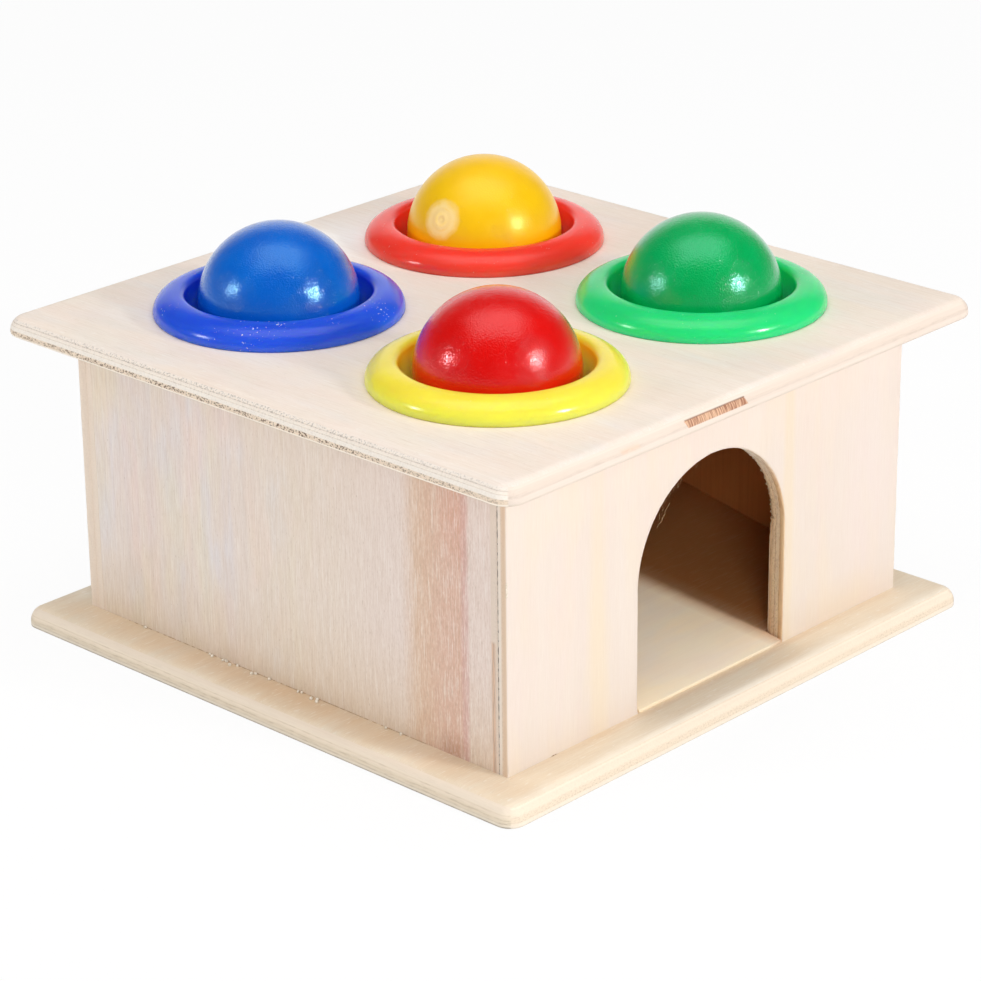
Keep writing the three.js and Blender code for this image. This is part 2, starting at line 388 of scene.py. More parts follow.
topSheet = dict(
    birch, through="Z", face=topLow / mm, grain="Y", coreGrain="X", shift=1.7, veneer=(0.02, 0.5),
    plies=[
        (0.0, "e2d4c7", 0.0), (0.08, "e0d2c5", 0.1), (0.19, "e8dace", 0.0), (0.38, "e7d8cc", 0.05),
        (0.46, "dcccbf", 0.3), (0.60, "e3d3c6", 0.1), (0.75, "e4d5c8", 0.05), (0.79, "e8dbce", 0.0),
    ],
    # The near-white plies from 0.08 to 0.13 are the pale lower veneer and also a painted highlight on the
    # rounded underside edge, lit from below.
    endPlies=[
        (0.0, "e6d7c8", 0.2), (0.05, "ecddce", 0.1), (0.08, "fff6e8", 0.0), (0.13, "fff6e8", 0.0),
        (0.165, "e6d3bd", 1.0), (0.36, "e8d6c1", 1.0), (0.40, "f5ede3", 0.1), (0.56, "f3ebe1", 0.1),
        (0.585, "dfd1c2", 0.3), (0.61, "f1e8dc", 0.1), (0.70, "efe4d9", 0.1), (0.735, "d2c5b8", 0.5),
        (0.76, "ede4da", 0.4), (0.88, "eee4db", 0.4),
    ],
    pale="f0e3d8", deep="eadbce", tints=[("dedee0", 0.3), ("ead1c4", 0.25), ("e1dfd0", 0.25)],
    band="e8d9c8", line="ceb9a5", bright="f4eee7",
    calmer=[("Y", [(-68, 0.25), (-54, 0.7), (-40, 1), (30, 1), (68, 0.6)])],
    patches=[
        # The first two patches are painted light: paler patches that lift the top behind the balls, where
        # the balls and rings shade it.
        ((-20, 45, 66.4), (38, 26, 8), 0.7, 0.5, "ede8e6"),
        ((9, 52, 66.4), (36, 18, 8), 0.8, 0.9, "f4f1ef"),
        ((-48, -20, 66.4), (16, 40, 8), 0.8, 0.4, "e7dcd2"),
    ],
    inlays=[
        ("X", 0.5, 12, 29, {"Y": (-75, -60), "Z": (64.0, 65.3)}, 0.07, (0.14, 9, 3),
         0.95, "dcb393", "a0684c"),
        ("X", 0.5, 12.3, 29.2, {"Y": (-75, -60), "Z": (65.22, 65.42)}, 0.06, (2, 9, 5),
         0.7, "6b4a38", "8a5636"),
        ("X", 0.5, -6, -1, {"Y": (-75, -60), "Z": (64.2, 64.9)}, 0.4, (1, 9, 1),
         0.35, "e9b992", "f1cba9"),
    ],
    # inside and its line colour are painted shade for the underside, inside the box.
    inside="d2874c", insideShadeLine="c87e46", insideFacing=-1,
)

baseSheet = dict(
    birch, through="Z", face=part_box("base_plate")[0].z / mm, grain="X", coreGrain="Y", shift=4.1,
    pale="efe0c9", deep="e6d5bb", tints=[("e6e0d2", 0.4), ("ecd2b0", 0.4), ("f3e9d6", 0.4)],
    band="ecd9bd", veneer=(0.0, 0.3), pit="9a7e62",
    # The dark grey plies at the very bottom are painted shadow along the lower edge.
    plies=[
        (0.0, "8e8373", 0.3), (0.05, "b3a897", 0.2), (0.09, "eae0d0", 0.05), (0.17, "ece1cf", 0.05),
        (0.21, "d9ccb6", 0.3), (0.26, "e4d7c2", 0.15), (0.34, "e6d8c2", 0.1), (0.39, "dccdb5", 0.3),
        (0.45, "e8dac4", 0.1), (0.55, "efe0cc", 0.05), (0.60, "e4d5be", 0.2), (0.64, "f0e2ce", 0.0),
        (0.70, "eee0cd", 0.05), (1.0, "efe0ce", 0.0),
    ],
    endPlies=[
        (0.0, "cfc3b1", 0.3), (0.04, "e6dccb", 0.2), (0.09, "f4e8d9", 0.05), (0.20, "f4e7d6", 0.05),
        (0.25, "efe0cc", 0.1), (0.29, "e6d5bf", 0.3), (0.34, "ecdcc6", 0.15), (0.47, "e9d8c2", 0.2),
        (0.60, "f2e3cf", 0.05), (0.80, "f3e3cf", 0.05), (0.86, "f9edda", 0.0), (0.90, "f3e3cd", 0.1),
        (1.0, "efdcc4", 0.05),
    ],
    patches=[
        ((0, -67, 3.9), (100, 5, 3), 0.8, 0.75, "fffaee"),
        ((0, -58.5, 3.9), (90, 2, 3), 0.8, 0.4, "dcb489"),
        ((-60, 0, 3.9), (7, 95, 3), 0.8, 0.6, "d9b690"),
    ],
)

wallSheet = dict(
    birch, grain="Z", coreGrain="X",
    plies=[
        (0.0, "f4e8d8", 0.0), (0.27, "f0e2d2", 0.0), (0.295, "cfb196", 0.4), (0.32, "ecdcc8", 0.3),
        (0.55, "e6d2bb", 0.3), (0.575, "8a6548", 0.6), (0.60, "e9d6c1", 0.3), (0.92, "eadac8", 0.2),
        (1.0, "ead8c2", 0.0),
    ],
    veneer=(0.12, 0.02), pale="ebdfd9", deep="e3d5ce", line="cbb4a2", fibreShare=0.28, hairShare=0.2,
    # inside and its line colour are painted shade for the faces inside the box.
    inside="d88c4e", insideShadeLine="ce8248", insideFacing=1, fleckShare=0.08, roughness=0.62,
)

frontSheet = dict(
    wallSheet, through="Y", face=wallFront, shift=2.3, openAcross=(-24, 24), pale="e8dbd1", deep="e5d7cc",
    tints=[("e9d6ce", 0.45), ("ebdcc6", 0.45)], band="e8dbcc", line="dcc8b8", fibreShare=0.14,
    lineShare=0.1, hairShare=0.04, poreShare=0.02, fleckShare=0.04, bright="f3ebe2",
    plies=[
        (0.0, "f6dcbc", 0.0), (0.10, "f3cda0", 0.05), (0.27, "f0c898", 0.05), (0.30, "c4935f", 0.2),
        (0.33, "f3dcbb", 0.2), (0.54, "f4dfc2", 0.3), (0.57, "b07c4c", 0.3), (0.61, "f3dbb8", 0.3),
        (0.86, "efd4ae", 0.3), (0.96, "f8ead4", 0.1), (1.0, "faf0de", 0.0),
    ],
    endPlies=[
        (0.0, "e6cfb8", 0.0), (0.15, "dfc4a9", 0.0), (0.30, "e1c8af", 0.1), (0.40, "ece0d2", 0.0),
        (0.52, "e9dccf", 0.0), (0.55, "8d7868", 0.3), (0.585, "e2d2c3", 0.1), (1.0, "e2d1c2", 0.0),
    ],
    patches=[
        ((22.5, wallFront, 30), (2.5, 6, 70), 0.5, 0.4, "e9d5b2"),
        ((-33, wallFront, 20), (4, 6, 60), 0.6, 0.45, "ebd9bb"),
        ((48, wallFront, 32), (14, 6, 60), 0.8, 0.5, "eadcd6"),
        ((40, wallFront, 6), (24, 6, 8), 0.8, 0.35, "e8d3b2"),
    ],
    inlays=[
        ("X", 0, -22.5, 22.5, {"Z": (-1, 54)}, 0.4, (0.4, 0.4, 6), 0.25, "f0cf9f", "c08a5a"),
        # This pale band is painted light on the cut edge over the top of the arch, which faces down into
        # shade.
        ("X", 0, -30, 30, {"Z": (43, 60)}, 5, (3, 0.35, 3), 0.8, "fffaf2", "e2d2c0"),
        ("Y", 0, wallFront + 2.9, wallFront + 3.8, {"Z": (2, 30)}, 0.3, (0.4, 0.3, 4),
         0.5, "d9a87a", "a06c48"),
    ],
)

backSheet = dict(
    wallSheet, through="Y", face=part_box("back_panel")[1].y / mm, towards=-1, shift=6.9, insideFacing=-1,
    endPlies=[(0.0, "efe0d0", 0.0), (0.5, "ecdac8", 0.05), (1.0, "efe0d0", 0.0)],
    streaks=[("X", 3, 0.4, "e0c7b4", [(-18, 0), (-12, 0.4), (-4, 0.55), (6, 0.2), (11, 0)])],
)

leftSheet = dict(
    wallSheet, through="X", face=wallLeft, coreGrain="Y", shift=3.4,
    tints=[("dedfe8", 0.5), ("f0d6cc", 0.5), ("e6dcc4", 0.5)], fibreShare=0.3, poreShare=0.3,
    streaks=[
        ("Y", 8, 0.1, "e8d8cf", [(-58, 1), (-20, 1), (6, 0)]),
        ("Y", 8, 0.2, "e8dac4", [(-32, 0), (-12, 0.35), (2, 0.35), (14, 0)]),
        ("Z", 4, 0.1, "ddc7a8", [(4, 0.55), (10, 0.35), (24, 0)]),
        ("Y", 0.8, 0.4, "dcbd98", [(-44, 0), (-41, 0.5), (-38, 0.7), (-35, 0.6), (-33.5, 0.25), (-31, 0)]),
        ("Y", 0.8, 0.5, "dcb5a0", [(-48.5, 0.1), (-48, 0.4), (-47.5, 0.75), (-46, 0.95), (-42, 0.85),
                                   (-39, 0.6), (-36, 0.4), (-34, 0.2), (-31, 0)]),
        ("Y", 0.5, 0.5, "cf9fa6", [(-48.4, 0), (-47.8, 0.35), (-46.8, 0.3), (-46, 0)]),
    ],
    specks=[
        ("Y", (0.25, 0.25, 0.9), [(-58, 0.12), (-52, 0.12), (-47, 0.2), (-36, 0.16), (-28, 0.1),
                                  (10, 0.06)]),
    ],
    patches=[
        ((wallLeft, -45, 52), (8, 5, 16), 0.8, 0.45, "d99f8a"),
        ((wallLeft, -44, 5), (8, 6, 5), 0.8, 0.5, "b07a5c"),
        ((wallLeft, 54, 53), (8, 9, 12), 0.7, 0.4, "f0dcb6"),
    ],
)

rightSheet = dict(
    wallSheet, through="X", face=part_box("right_panel")[1].x / mm, towards=-1, coreGrain="Y", shift=8.2,
    insideFacing=-1,
    streaks=[("Y", 2, 0.4, "dfc2b0", [(8, 0), (13, 0.5), (22, 0.6), (31, 0.15), (36, 0)])],
)

rampSheet = dict(
    birch, through="Z", face=-40, grain="X", coreGrain="Y", shift=5.5, thickness=100, veneer=(100, 0),
    plies=[(0, "e2d4c2", 0.0), (1, "e2d4c2", 0.0)], pale="fff1d2", deep="ffe9c8", lineShare=0.06,
    fibreShare=0.05, hairShare=0, poreShare=0, fleckShare=0, roughness=0.75,
    # Both streaks are painted shade: brown behind the right jamb along the slant of its shadow, and brown
    # towards the back of the ramp.
    streaks=[
        ("X", 1, 0.05, "c2824a", [(9, 0), (11.5, 0.35), (14, 0.8), (18, 1), (54, 1)], ("Y", 0.15)),
        ("Y", 3, 0.05, "c98d55", [(-34, 0), (-28, 0.15), (-12, 0.75), (5, 0.95), (54, 1)]),
    ],
)

woods = {
    "top_plate": plywood("topPly", topSheet),
    "base_plate": plywood("basePly", baseSheet),
    "front_panel": plywood("frontPly", frontSheet),
    "back_panel": plywood("backPly", backSheet),
    "left_panel": plywood("leftPly", leftSheet),
    "right_panel": plywood("rightPly", rightSheet),
    "ramp_board": plywood("rampPly", rampSheet),
}
print("wood mixed:", len(woods))


# Boards. A board is one outline swept through its thickness in rows, each row drawn in a little
# from the outline, so that its arrises are worn and its plies stand unevenly.

board = dict(
    pitch=1.3,  # distance of the points along an outline
    finePitch=0.3, arris=0.16, arrisVariation=0.12,
    arrisLength=(2.6, 2.2),  # of the wear's bends on the outer and the inner face
    land=0.8, plyRelief=0.05, plyWaver=0.012, plyLength=1.9,
)


def newObject(name, mesh, material=None):
    made = bpy.data.objects.new(name, mesh)
    bpy.context.scene.collection.objects.link(made)
    if material is not None:
        mesh.materials.clear()
        mesh.materials.append(material)
    return made


def standIn(name, mesh, node, material, body=box):
    made = newObject(name, mesh, material)
    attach(made, body)
    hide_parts(node)


def finishMesh(bm, name, sharpAngle=35):
    bmesh.ops.recalc_face_normals(bm, faces=bm.faces)
    mesh = bpy.data.meshes.new(name)
    bm.to_mesh(mesh)
    bm.free()
    mesh.polygons.foreach_set("use_smooth", [True] * len(mesh.polygons))
    mesh.set_sharp_from_angle(angle=math.radians(sharpAngle))
    return mesh


def quarter(steps, first=0):
    # sine and cosine at even steps of a quarter turn
    angles = [step / steps * math.pi / 2 for step in range(first, steps + 1)]
    return [(math.sin(angle), math.cos(angle)) for angle in angles]


def wander(along, width, seed):
    # Smooth noise from -1 to 1 along an edge, with bends about width long
    return noise.noise(Vector((along / width, seed * 3.7, seed * 1.9)))


def straight(start, end, pitch, normal):
    # Points between two corners, without the corners
    steps = max(1, round((end - start).length / pitch))
    return [(start.lerp(end, step / steps), normal) for step in range(1, steps)]


def polygon(corners, pitch):
    # Points with outward normals along straight sides. At a corner the normal reaches both sides.
    points = []
    for i, start in enumerate(corners):
        end = corners[(i + 1) % len(corners)]
        side = (end - start).normalized()
        sideBefore = (start - corners[i - 1]).normalized()
        normal = Vector((side.y, -side.x))
        normalBefore = Vector((sideBefore.y, -sideBefore.x))
        points.append((start, (normal + normalBefore) / (1 + normal.dot(normalBefore))))
        points += straight(start, end, pitch, normal)
    return points


def measured(points):
    # Adds each point's distance along the outline.
    along = 0
    result = []
    for i, (point, normal) in enumerate(points):
        if i:
            along += (point - points[i - 1][0]).length
        result.append((point, normal, along))
    return result


def stitch(bm, rows):
    for row, nextRow in zip(rows, rows[1:]):
        for i, vertex in enumerate(row):
            j = (i + 1) % len(row)
            bm.faces.new((vertex, row[j], nextRow[j], nextRow[i]))


def sweptBoard(name, outlines, rows, place):
    # rows holds (depth, inset), where inset is a function of a point and its distance along.
    bm = bmesh.new()
    loops = []
    for number, outline in enumerate(outlines):
        swept = []
        for depth, inset in rows:
            row = []
            for point, normal, along in outline:
                moved = point - normal * inset(point, along, number)
                row.append(bm.verts.new(place(moved.x, moved.y, depth)))
            swept.append(row)
        stitch(bm, swept)
        loops.append(swept)
    for end in (0, -1):
        corners = [vertex for swept in loops for vertex in swept[end]]
        flat = [[vertex.co for vertex in swept[end]] for swept in loops]
        for triangle in tessellate_polygon(flat):
            bm.faces.new([corners[i] for i in triangle])
    return finishMesh(bm, name)


def steady(value):
    return lambda point, along, number: value


def worn(value, variation, width, seed):
    return lambda point, along, number: max(0, value + variation * wander(along, width, seed + number))


# Plates: rounded corners, a rounded upper edge and, in the top, four holes for the rings

plates = {
    "top_plate": dict(cornerRadius=4.2, edgeRound=3, underRound=0.75, groove=2.9, holes=18.9,
                      slot="top_ply"),
    "base_plate": dict(cornerRadius=3.4, edgeRound=3, underRound=0.12, groove=2.2, holes=0,
                       slot="base_ply"),
}
plateMesh = dict(
    cornerSteps=14, edgeSteps=14, underSteps=4, holeSteps=96, grooveDepth=0.035, grooveWidth=0.3,
    grooveRough=0.6, grooveLength=1.7, waver=0.035, waverLength=9,
)
balls = ("red_ball", "green_ball", "blue_ball", "yellow_ball")


def roundedSquare(halfSide, cornerRadius, pitch):
    reach = halfSide - cornerRadius
    points = []
    for corner in range(4):
        middle = math.pi / 4 + corner * math.pi / 2
        centre = Vector([reach * math.copysign(1, part) for part in (math.cos(middle), math.sin(middle))])
        for step in range(plateMesh["cornerSteps"] + 1):
            angle = (corner + step / plateMesh["cornerSteps"]) * math.pi / 2
            normal = Vector((math.cos(angle), math.sin(angle)))
            points.append((centre + normal * cornerRadius, normal))
        tangent = Vector((-math.sin(angle), math.cos(angle)))
        steps = round(2 * reach / pitch)
        for step in range(1, steps):
            points.append((points[-1][0] + tangent * (2 * reach / steps), normal))
    return points


def holeOutline(centre, radius, steps):
    points = []
    for step in range(steps):
        angle = -2 * math.pi * step / steps
        around = Vector((math.cos(angle), math.sin(angle)))
        points.append((centre + around * radius, -around))
    return points


def stationCentre(ball):
    low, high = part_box(ball)
    return (low + high) / 2 / mm


def makePlate(node, shape):
    low, high = boxOf(node)
    height = high.z - low.z
    outlines = [measured(roundedSquare((high.x - low.x) / 2, shape["cornerRadius"], board["pitch"]))]
    if shape["holes"]:
        for ball in balls:
            centre = stationCentre(ball).to_2d()
            outlines.append(measured(holeOutline(centre, shape["holes"], plateMesh["holeSteps"])))

    upper = shape["edgeRound"]
    under = shape["underRound"]
    corner = shape["cornerRadius"]
    profile = [(under * (1 - cos), under * (1 - sin)) for sin, cos in quarter(plateMesh["underSteps"])]
    for sin, cos in quarter(plateMesh["edgeSteps"]):
        profile.append((height - upper * (1 - sin), upper * (1 - cos)))
    profile[0] = (0, under)
    profile.insert(0, (0, under + min(board["land"], corner - under - 0.1)))
    profile.append((height, min(upper + board["land"], corner - 0.05)))

    def insetAt(depth, drawnIn, seed):
        groove = math.exp(-((depth - shape["groove"]) / plateMesh["grooveWidth"]) ** 2)

        def inset(point, along, number):
            if number:
                return 0
            waver = plateMesh["waver"] * (1 + wander(along, plateMesh["waverLength"], seed))
            rough = 1 + plateMesh["grooveRough"] * wander(along, plateMesh["grooveLength"], 40)
            rough *= groove * plateMesh["grooveDepth"]
            return drawnIn + (0 if depth in (0, height) else waver * 0.5 + rough)
        return inset

    rows = []
    for seed, (depth, drawnIn) in enumerate(profile):
        rows.append((depth, insetAt(depth, drawnIn, seed * 0.05)))
    mesh = sweptBoard(node, outlines, rows, lambda u, v, depth: Vector((u, v, low.z + depth)) * mm)
    standIn("plate_" + node.split("_")[0], mesh, node, woods[node])


for node, shape in plates.items():
    makePlate(node, shape)
print("plates made")


# Walls

wallRows = dict(
    plies=[0.33, 0.6, 1.05, 1.15, 1.25, 1.7, 2.15, 2.25, 2.35, 2.65, 2.9, 3.05, 3.2, 3.35, 3.5, 3.63],
    ply={1.15: 0.05, 2.25: 0.09}, gluedWear=0.2,
)
doorway = dict(
    width=43.2, headroom=12, steps=220, saw=0.06, sawLength=1.1,
    ease=0.28,  # how far the front arris is rounded over,
    easeDepth=0.55,  # how deep that reaches,
    easeFrom=2,  # and the height at which it is in full
    tornFrom=-9, tornRise=12, tornTo=97, tornFade=6,  # bearings from the arch's centre, in degrees
    nickFrom=108, nickRise=8, nicked=0.4, nick=0.22, nickDepth=0.4,
    tearFrom=0.15,  # the tears start this far from the back face,
    tearReach=1.3,  # and reach this much deeper where they are longest
    tearSlope=0.6,
)


def wallProfile(thickness, seed, wear=1):
    arris = board["arris"] * wear
    variation = board["arrisVariation"] * wear
    land = board["land"] + arris
    outer, inner = board["arrisLength"]
    rows = [(0, steady(land)), (0, worn(arris, variation, outer, seed)), (arris, steady(0))]
    for number, depth in enumerate(wallRows["plies"]):
        relief = wallRows["ply"].get(depth, 0)
        waver = board["plyRelief"] if relief else board["plyWaver"]
        rows.append((depth, worn(relief, waver, board["plyLength"], seed + number)))
    rows.append((thickness - arris, steady(0)))
    rows.append((thickness, worn(arris, variation, inner, seed + 30)))
    rows.append((thickness, steady(land)))
    return rows


def makeWall(node, axis, side, seed, wear=1):
    # axis is the one that the wall faces, 0 or 1, and side is where it faces, -1 or 1.
    low, high = boxOf(node)
    half = (high[1 - axis] - low[1 - axis]) / 2
    height = high.z - low.z
    corners = [Vector(corner) for corner in ((-half, 0), (half, 0), (half, height), (-half, height))]
    outer = low[axis] if side < 0 else high[axis]

    def place(u, v, depth):
        point = Vector((u, u, low.z + v))
        point[axis] = outer - side * depth
        return point * mm

    profile = wallProfile(high[axis] - low[axis], seed, wear)
    mesh = sweptBoard(node, [measured(polygon(corners, board["pitch"]))], profile, place)
    standIn("wall_" + node.split("_")[0], mesh, node, woods[node])


def doorOutline(width, height, half, spring):
    # Round the board with it on the left: foot, right end, top, left end, foot, doorway
    turns = [
        (Vector((half, 0)), (-1, -1), (0, -1)),
        (Vector((width / 2, 0)), (1, -1), (1, 0)),
        (Vector((width / 2, height)), (1, 1), (0, 1)),
        (Vector((-width / 2, height)), (-1, 1), (-1, 0)),
        (Vector((-width / 2, 0)), (-1, -1), (0, -1)),
        (Vector((-half, 0)), (1, -1), None),
    ]
    points = []
    for (start, corner, side), (end, _, _) in zip(turns, turns[1:]):
        points.append((start, Vector(corner)))
        points += straight(start, end, board["pitch"], Vector(side))
    points.append((turns[-1][0], Vector(turns[-1][1])))
    points += straight(Vector((-half, 0)), Vector((-half, spring)), board["finePitch"], Vector((1, 0)))
    points.append((Vector((-half, spring)), Vector((1, 0))))
    for step in range(doorway["steps"] - 1, 0, -1):
        angle = math.pi * step / doorway["steps"]
        around = Vector((math.cos(angle), math.sin(angle)))
        points.append((Vector((0, spring)) + around * half, -around))
    points.append((Vector((half, spring)), Vector((-1, 0))))
    points += straight(Vector((half, spring)), Vector((half, 0)), board["finePitch"], Vector((-1, 0)))
    return points


def clamped(value):
    return max(0, min(1, value))


def makeFrontWall(node, seed):
    low, high = boxOf(node)
    thickness = high.y - low.y
    height = high.z - low.z
    half = doorway["width"] / 2
    spring = height - doorway["headroom"] - half
    outline = measured(doorOutline(high.x - low.x, height, half, spring))

    def jag(along, width, seed):
        return clamped(0.5 + 1.7 * wander(along, width, seed))

    def torn(point, along):
        # The saw tore the inner veneer from the crown down the right side, and nicked the left.
        bearing = math.degrees(math.atan2(point.y - spring, point.x))
        share = clamped((doorway["tornTo"] - bearing) / doorway["tornFade"])
        share *= clamped((bearing - doorway["tornFrom"]) / doorway["tornRise"])
        share += doorway["nicked"] * clamped((bearing - doorway["nickFrom"]) / doorway["nickRise"])
        return share, 0.5 * jag(along, 0.45, 51) + 0.5 * jag(along, 0.22, 52)

    def doorRow(depth, plain, isCap):
        def inset(point, along, number):
            plainInset = plain(point, along, number)
            if point.y < 0.01:
                # Kept within half a step of the doorway, or the corner's flat would fold.
                return min(max(0, abs(point.x) - half) + board["finePitch"] / 2, plainInset) if isCap else 0
            if abs(point.x) >= half + 0.01 or point.y >= spring + half + 0.01:
                return plainInset * (wallRows["gluedWear"] if depth > thickness - board["land"] else 1)
            share, reach = torn(point, along)
            start = thickness - doorway["tearFrom"] - doorway["tearReach"] * reach * share
            saw = doorway["saw"] * abs(wander(along, doorway["sawLength"], seed + depth))
            eased = doorway["ease"] * max(0, 1 - depth / doorway["easeDepth"]) ** 2
            eased *= min(1, point.y / doorway["easeFrom"])
            nick = doorway["nick"] * share * reach * (point.x < 0) * max(0, 1 - depth / doorway["nickDepth"])
            tear = doorway["tearSlope"] * max(0, depth - start)
            return min(0.9 * point.y, plainInset + saw + eased + nick + tear)
        return inset

    profile = wallProfile(thickness, seed)
    caps = (0, len(profile) - 1)
    rows = [(depth, doorRow(depth, plain, row in caps)) for row, (depth, plain) in enumerate(profile)]
    mesh = sweptBoard(node, [outline], rows, lambda u, v, depth: Vector((u, low.y + depth, low.z + v)) * mm)
    standIn("wall_front", mesh, node, woods[node])


makeFrontWall("front_panel", 1)
makeWall("back_panel", 1, 1, 2)
makeWall("left_panel", 0, -1, 3, wallRows["gluedWear"])
makeWall("right_panel", 0, 1, 4, wallRows["gluedWear"])
print("walls made")


# Ramp, a copy of its CAD solid with softened arrises

ramp = {"arris": 0.1, "merge": 0.001}


def makeRamp():
    bm = bmesh.new()
    bm.from_mesh(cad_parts["ramp_board"].data)
    bmesh.ops.remove_doubles(bm, verts=bm.verts, dist=ramp["merge"] * mm)
    bmesh.ops.dissolve_limit(bm, angle_limit=math.radians(1), verts=bm.verts, edges=bm.edges)
    bmesh.ops.bevel(bm, geom=bm.edges[:], offset=ramp["arris"] * mm, segments=2, profile=0.5, affect="EDGES")
    standIn("ramp", finishMesh(bm, "ramp"), "ramp_board", woods["ramp_board"])


makeRamp()
print("ramp made")


# Balls: turned wood, painted, with the small bare flats where the lathe held them

ball = dict(
    segments=128, rows=96, radius=16, poleRadius=4, poleDrop=0.1, turning=0.012, dimple=0.28,
    dimpleRadius=0.55, shine=0.9,
    lacquer=0.04,  # roughness of the clear coat
    grain=0.11,  # height of its orange peel
    flatEdge=(0.23, 0.31),  # the flats' edge, the groove in them and their hub, as shares of the radius
    groove=0.165, hub=(0.05, 0.11), turns=130,
)

glossy = {"gloss": (0.1, 0.15), "coat": 0.45, "peel": 0.05}
ballFinish = {
    "red": {**glossy, "paint": "da0c08", "bare": "f0664e", "hub": "7a1a10", "glint": "ffc8cc",
            "pole": (0.62, 0.75, 0.42)},
    "green": {**glossy, "paint": "00ab5a", "bare": "5cc07a", "hub": "0b5a34", "glint": "b4ffff",
              "pole": (0.35, 0.9, 0.45)},
    "blue": {**glossy, "paint": "0465cc", "bare": "5c93e0", "hub": "0a2f6a", "glint": "a8f4ff",
             "pole": (0.85, 0.3, 0.4)},
    "yellow": {"paint": "fcc800", "bare": "ffdc90", "hub": "c98a4a", "glint": "ffffa8",
               "pole": (-0.9, -0.1, 0.4), "gloss": (0.3, 0.36), "coat": 0.3, "peel": 0.03},
}


def ballMaterial(name, shift, finish, centre, axis):
    g = Finish(name)
    g.coords = g.vectors("SUBTRACT", g.coords, centre * mm)
    paint = colour(finish["paint"])
    deeper = (*(part ** 1.08 * 0.94 for part in paint[:3]), 1)
    skin = g.mix(g.spread(g.cells(7, (shift, 0, 0), 3), 0.3, 0.7), paint, deeper)
    fleckMask = g.spread(g.cells(0.5, (0, shift, 0), 1), 0.78, 0.82, 0, 0.25)
    skin = g.mix(fleckMask, skin, finish["bare"])

    # Bare flats at both ends of the turning axis
    height = g.maths("ABSOLUTE", g.vectors("DOT_PRODUCT", g.coords, axis))
    lean = g.maths("DIVIDE", height, ball["radius"] * mm)
    out = g.maths("SQRT", g.maths("MAXIMUM", g.maths("SUBTRACT", 1, g.maths("POWER", lean, 2)), 0))
    ragged = g.cells(1.8, (shift, 2, 0), 2)
    reach = g.scaled(ragged, 0.06, out)
    flat = g.spread(reach, *ball["flatEdge"], 1, 0)
    turns = g.maths("SINE", g.scaled(out, ball["turns"], g.times(ragged, 5)))
    turnMask = g.times(g.spread(turns, 0.1, 1, 0, 0.3), g.spread(ragged, 0.4, 0.6))
    bare = g.mix(turnMask, finish["bare"], paint)
    groove = g.maths("ABSOLUTE", g.maths("SUBTRACT", out, ball["groove"]))
    bare = g.mix(g.spread(groove, 0.008, 0.03, 0.1, 0), bare, finish["hub"])
    bare = g.mix(g.spread(reach, *ball["hub"], 0.6, 0), bare, finish["hub"])
    g.give("Base Color", g.mix(flat, skin, bare))

    gloss = g.spread(g.cells(3, (0, 0, shift), 4), 0.3, 0.7, *finish["gloss"])
    g.give("Roughness", g.mixValue(flat, gloss, 0.4))
    g.give("Specular IOR Level", ball["shine"])
    g.give("Specular Tint", finish["glint"])
    g.give("Coat Weight", finish["coat"])
    g.give("Coat Roughness", ball["lacquer"])
    peel = g.cells(0.3, (shift, shift, 0), 0.6)
    relief = g.scaled(g.cells(3.5, (0, shift, shift), 2), 0.05, g.times(peel, finish["peel"]))
    relief = g.scaled(fleckMask, 0.04, relief)
    g.bump(relief, 1.0, mm)
    g.bump(g.scaled(peel, ball["grain"], relief), 1.0, mm, "Coat Normal")
    return g.material


def makeBall(name, shift, finish):
    node = name + "_ball"
    slot = "paint_" + name
    low, high = boxOf(node)
    centre = (low + high) / 2
    radius = (high.z - low.z) / 2
    axis = Vector(finish["pole"]).normalized()
    turn = axis.to_track_quat("Z", "Y").to_matrix()
    bm = bmesh.new()
    rows = []
    for step in range(1, ball["rows"]):
        angle = math.pi * step / ball["rows"]
        out = radius * math.sin(angle)
        along = radius * math.cos(angle)
        edge = max(0, 1 - out / ball["poleRadius"])
        drop = ball["poleDrop"] * min(1, edge * 3)
        drop += ball["turning"] * edge * math.sin(out * 7)
        drop += ball["dimple"] * math.exp(-(out / ball["dimpleRadius"]) ** 2)
        along -= math.copysign(drop, along)
        row = []
        for side in range(ball["segments"]):
            around = 2 * math.pi * side / ball["segments"]
            point = Vector((out * math.cos(around), out * math.sin(around), along))
            row.append(bm.verts.new((centre + turn @ point) * mm))
        rows.append(row)
    stitch(bm, rows)
    for row, side in ((rows[0], 1), (rows[-1], -1)):
        drop = ball["poleDrop"] + ball["dimple"]
        tip = bm.verts.new((centre + turn @ Vector((0, 0, side * (radius - drop)))) * mm)
        for i, vertex in enumerate(row):
            bm.faces.new((tip, vertex, row[(i + 1) % len(row)]))
    mesh = finishMesh(bm, node, 60)
    standIn(name + "Painted_ball", mesh, node, ballMaterial(slot, shift, finish, centre, axis), node)


for number, (name, finish) in enumerate(ballFinish.items()):
    makeBall(name, number + 1, finish)
print("balls made")


# Rings: one moulding turned about its own axis by Geometry Nodes, with a crown above the top, a
# neck through its hole and a bead with an inner lip below. Radii and heights are millimetres.

ring = dict(
    mouthRadius=18.35, mouthRound=1.25, crownWidth=5.2, crownHeight=4.5, crownFoot=0.6, footRound=0.3,
    throatRadius=16.9, throatDepth=1.2, neckRadius=18.6, beadRadius=20.2, beadTop=-4.2, beadFoot=-7.55,
    beadChamfer=1.2, lipRadius=14, lipThickness=1, lipRun=1.9, seatRadius=16.3,
    footGlow=(0.6, 3.2),  # heights between which the skin gets paler downwards, as light passes its foot
    crownSteps=22, mouthSteps=8, footSteps=4, segments=144, waver=0.06,
)

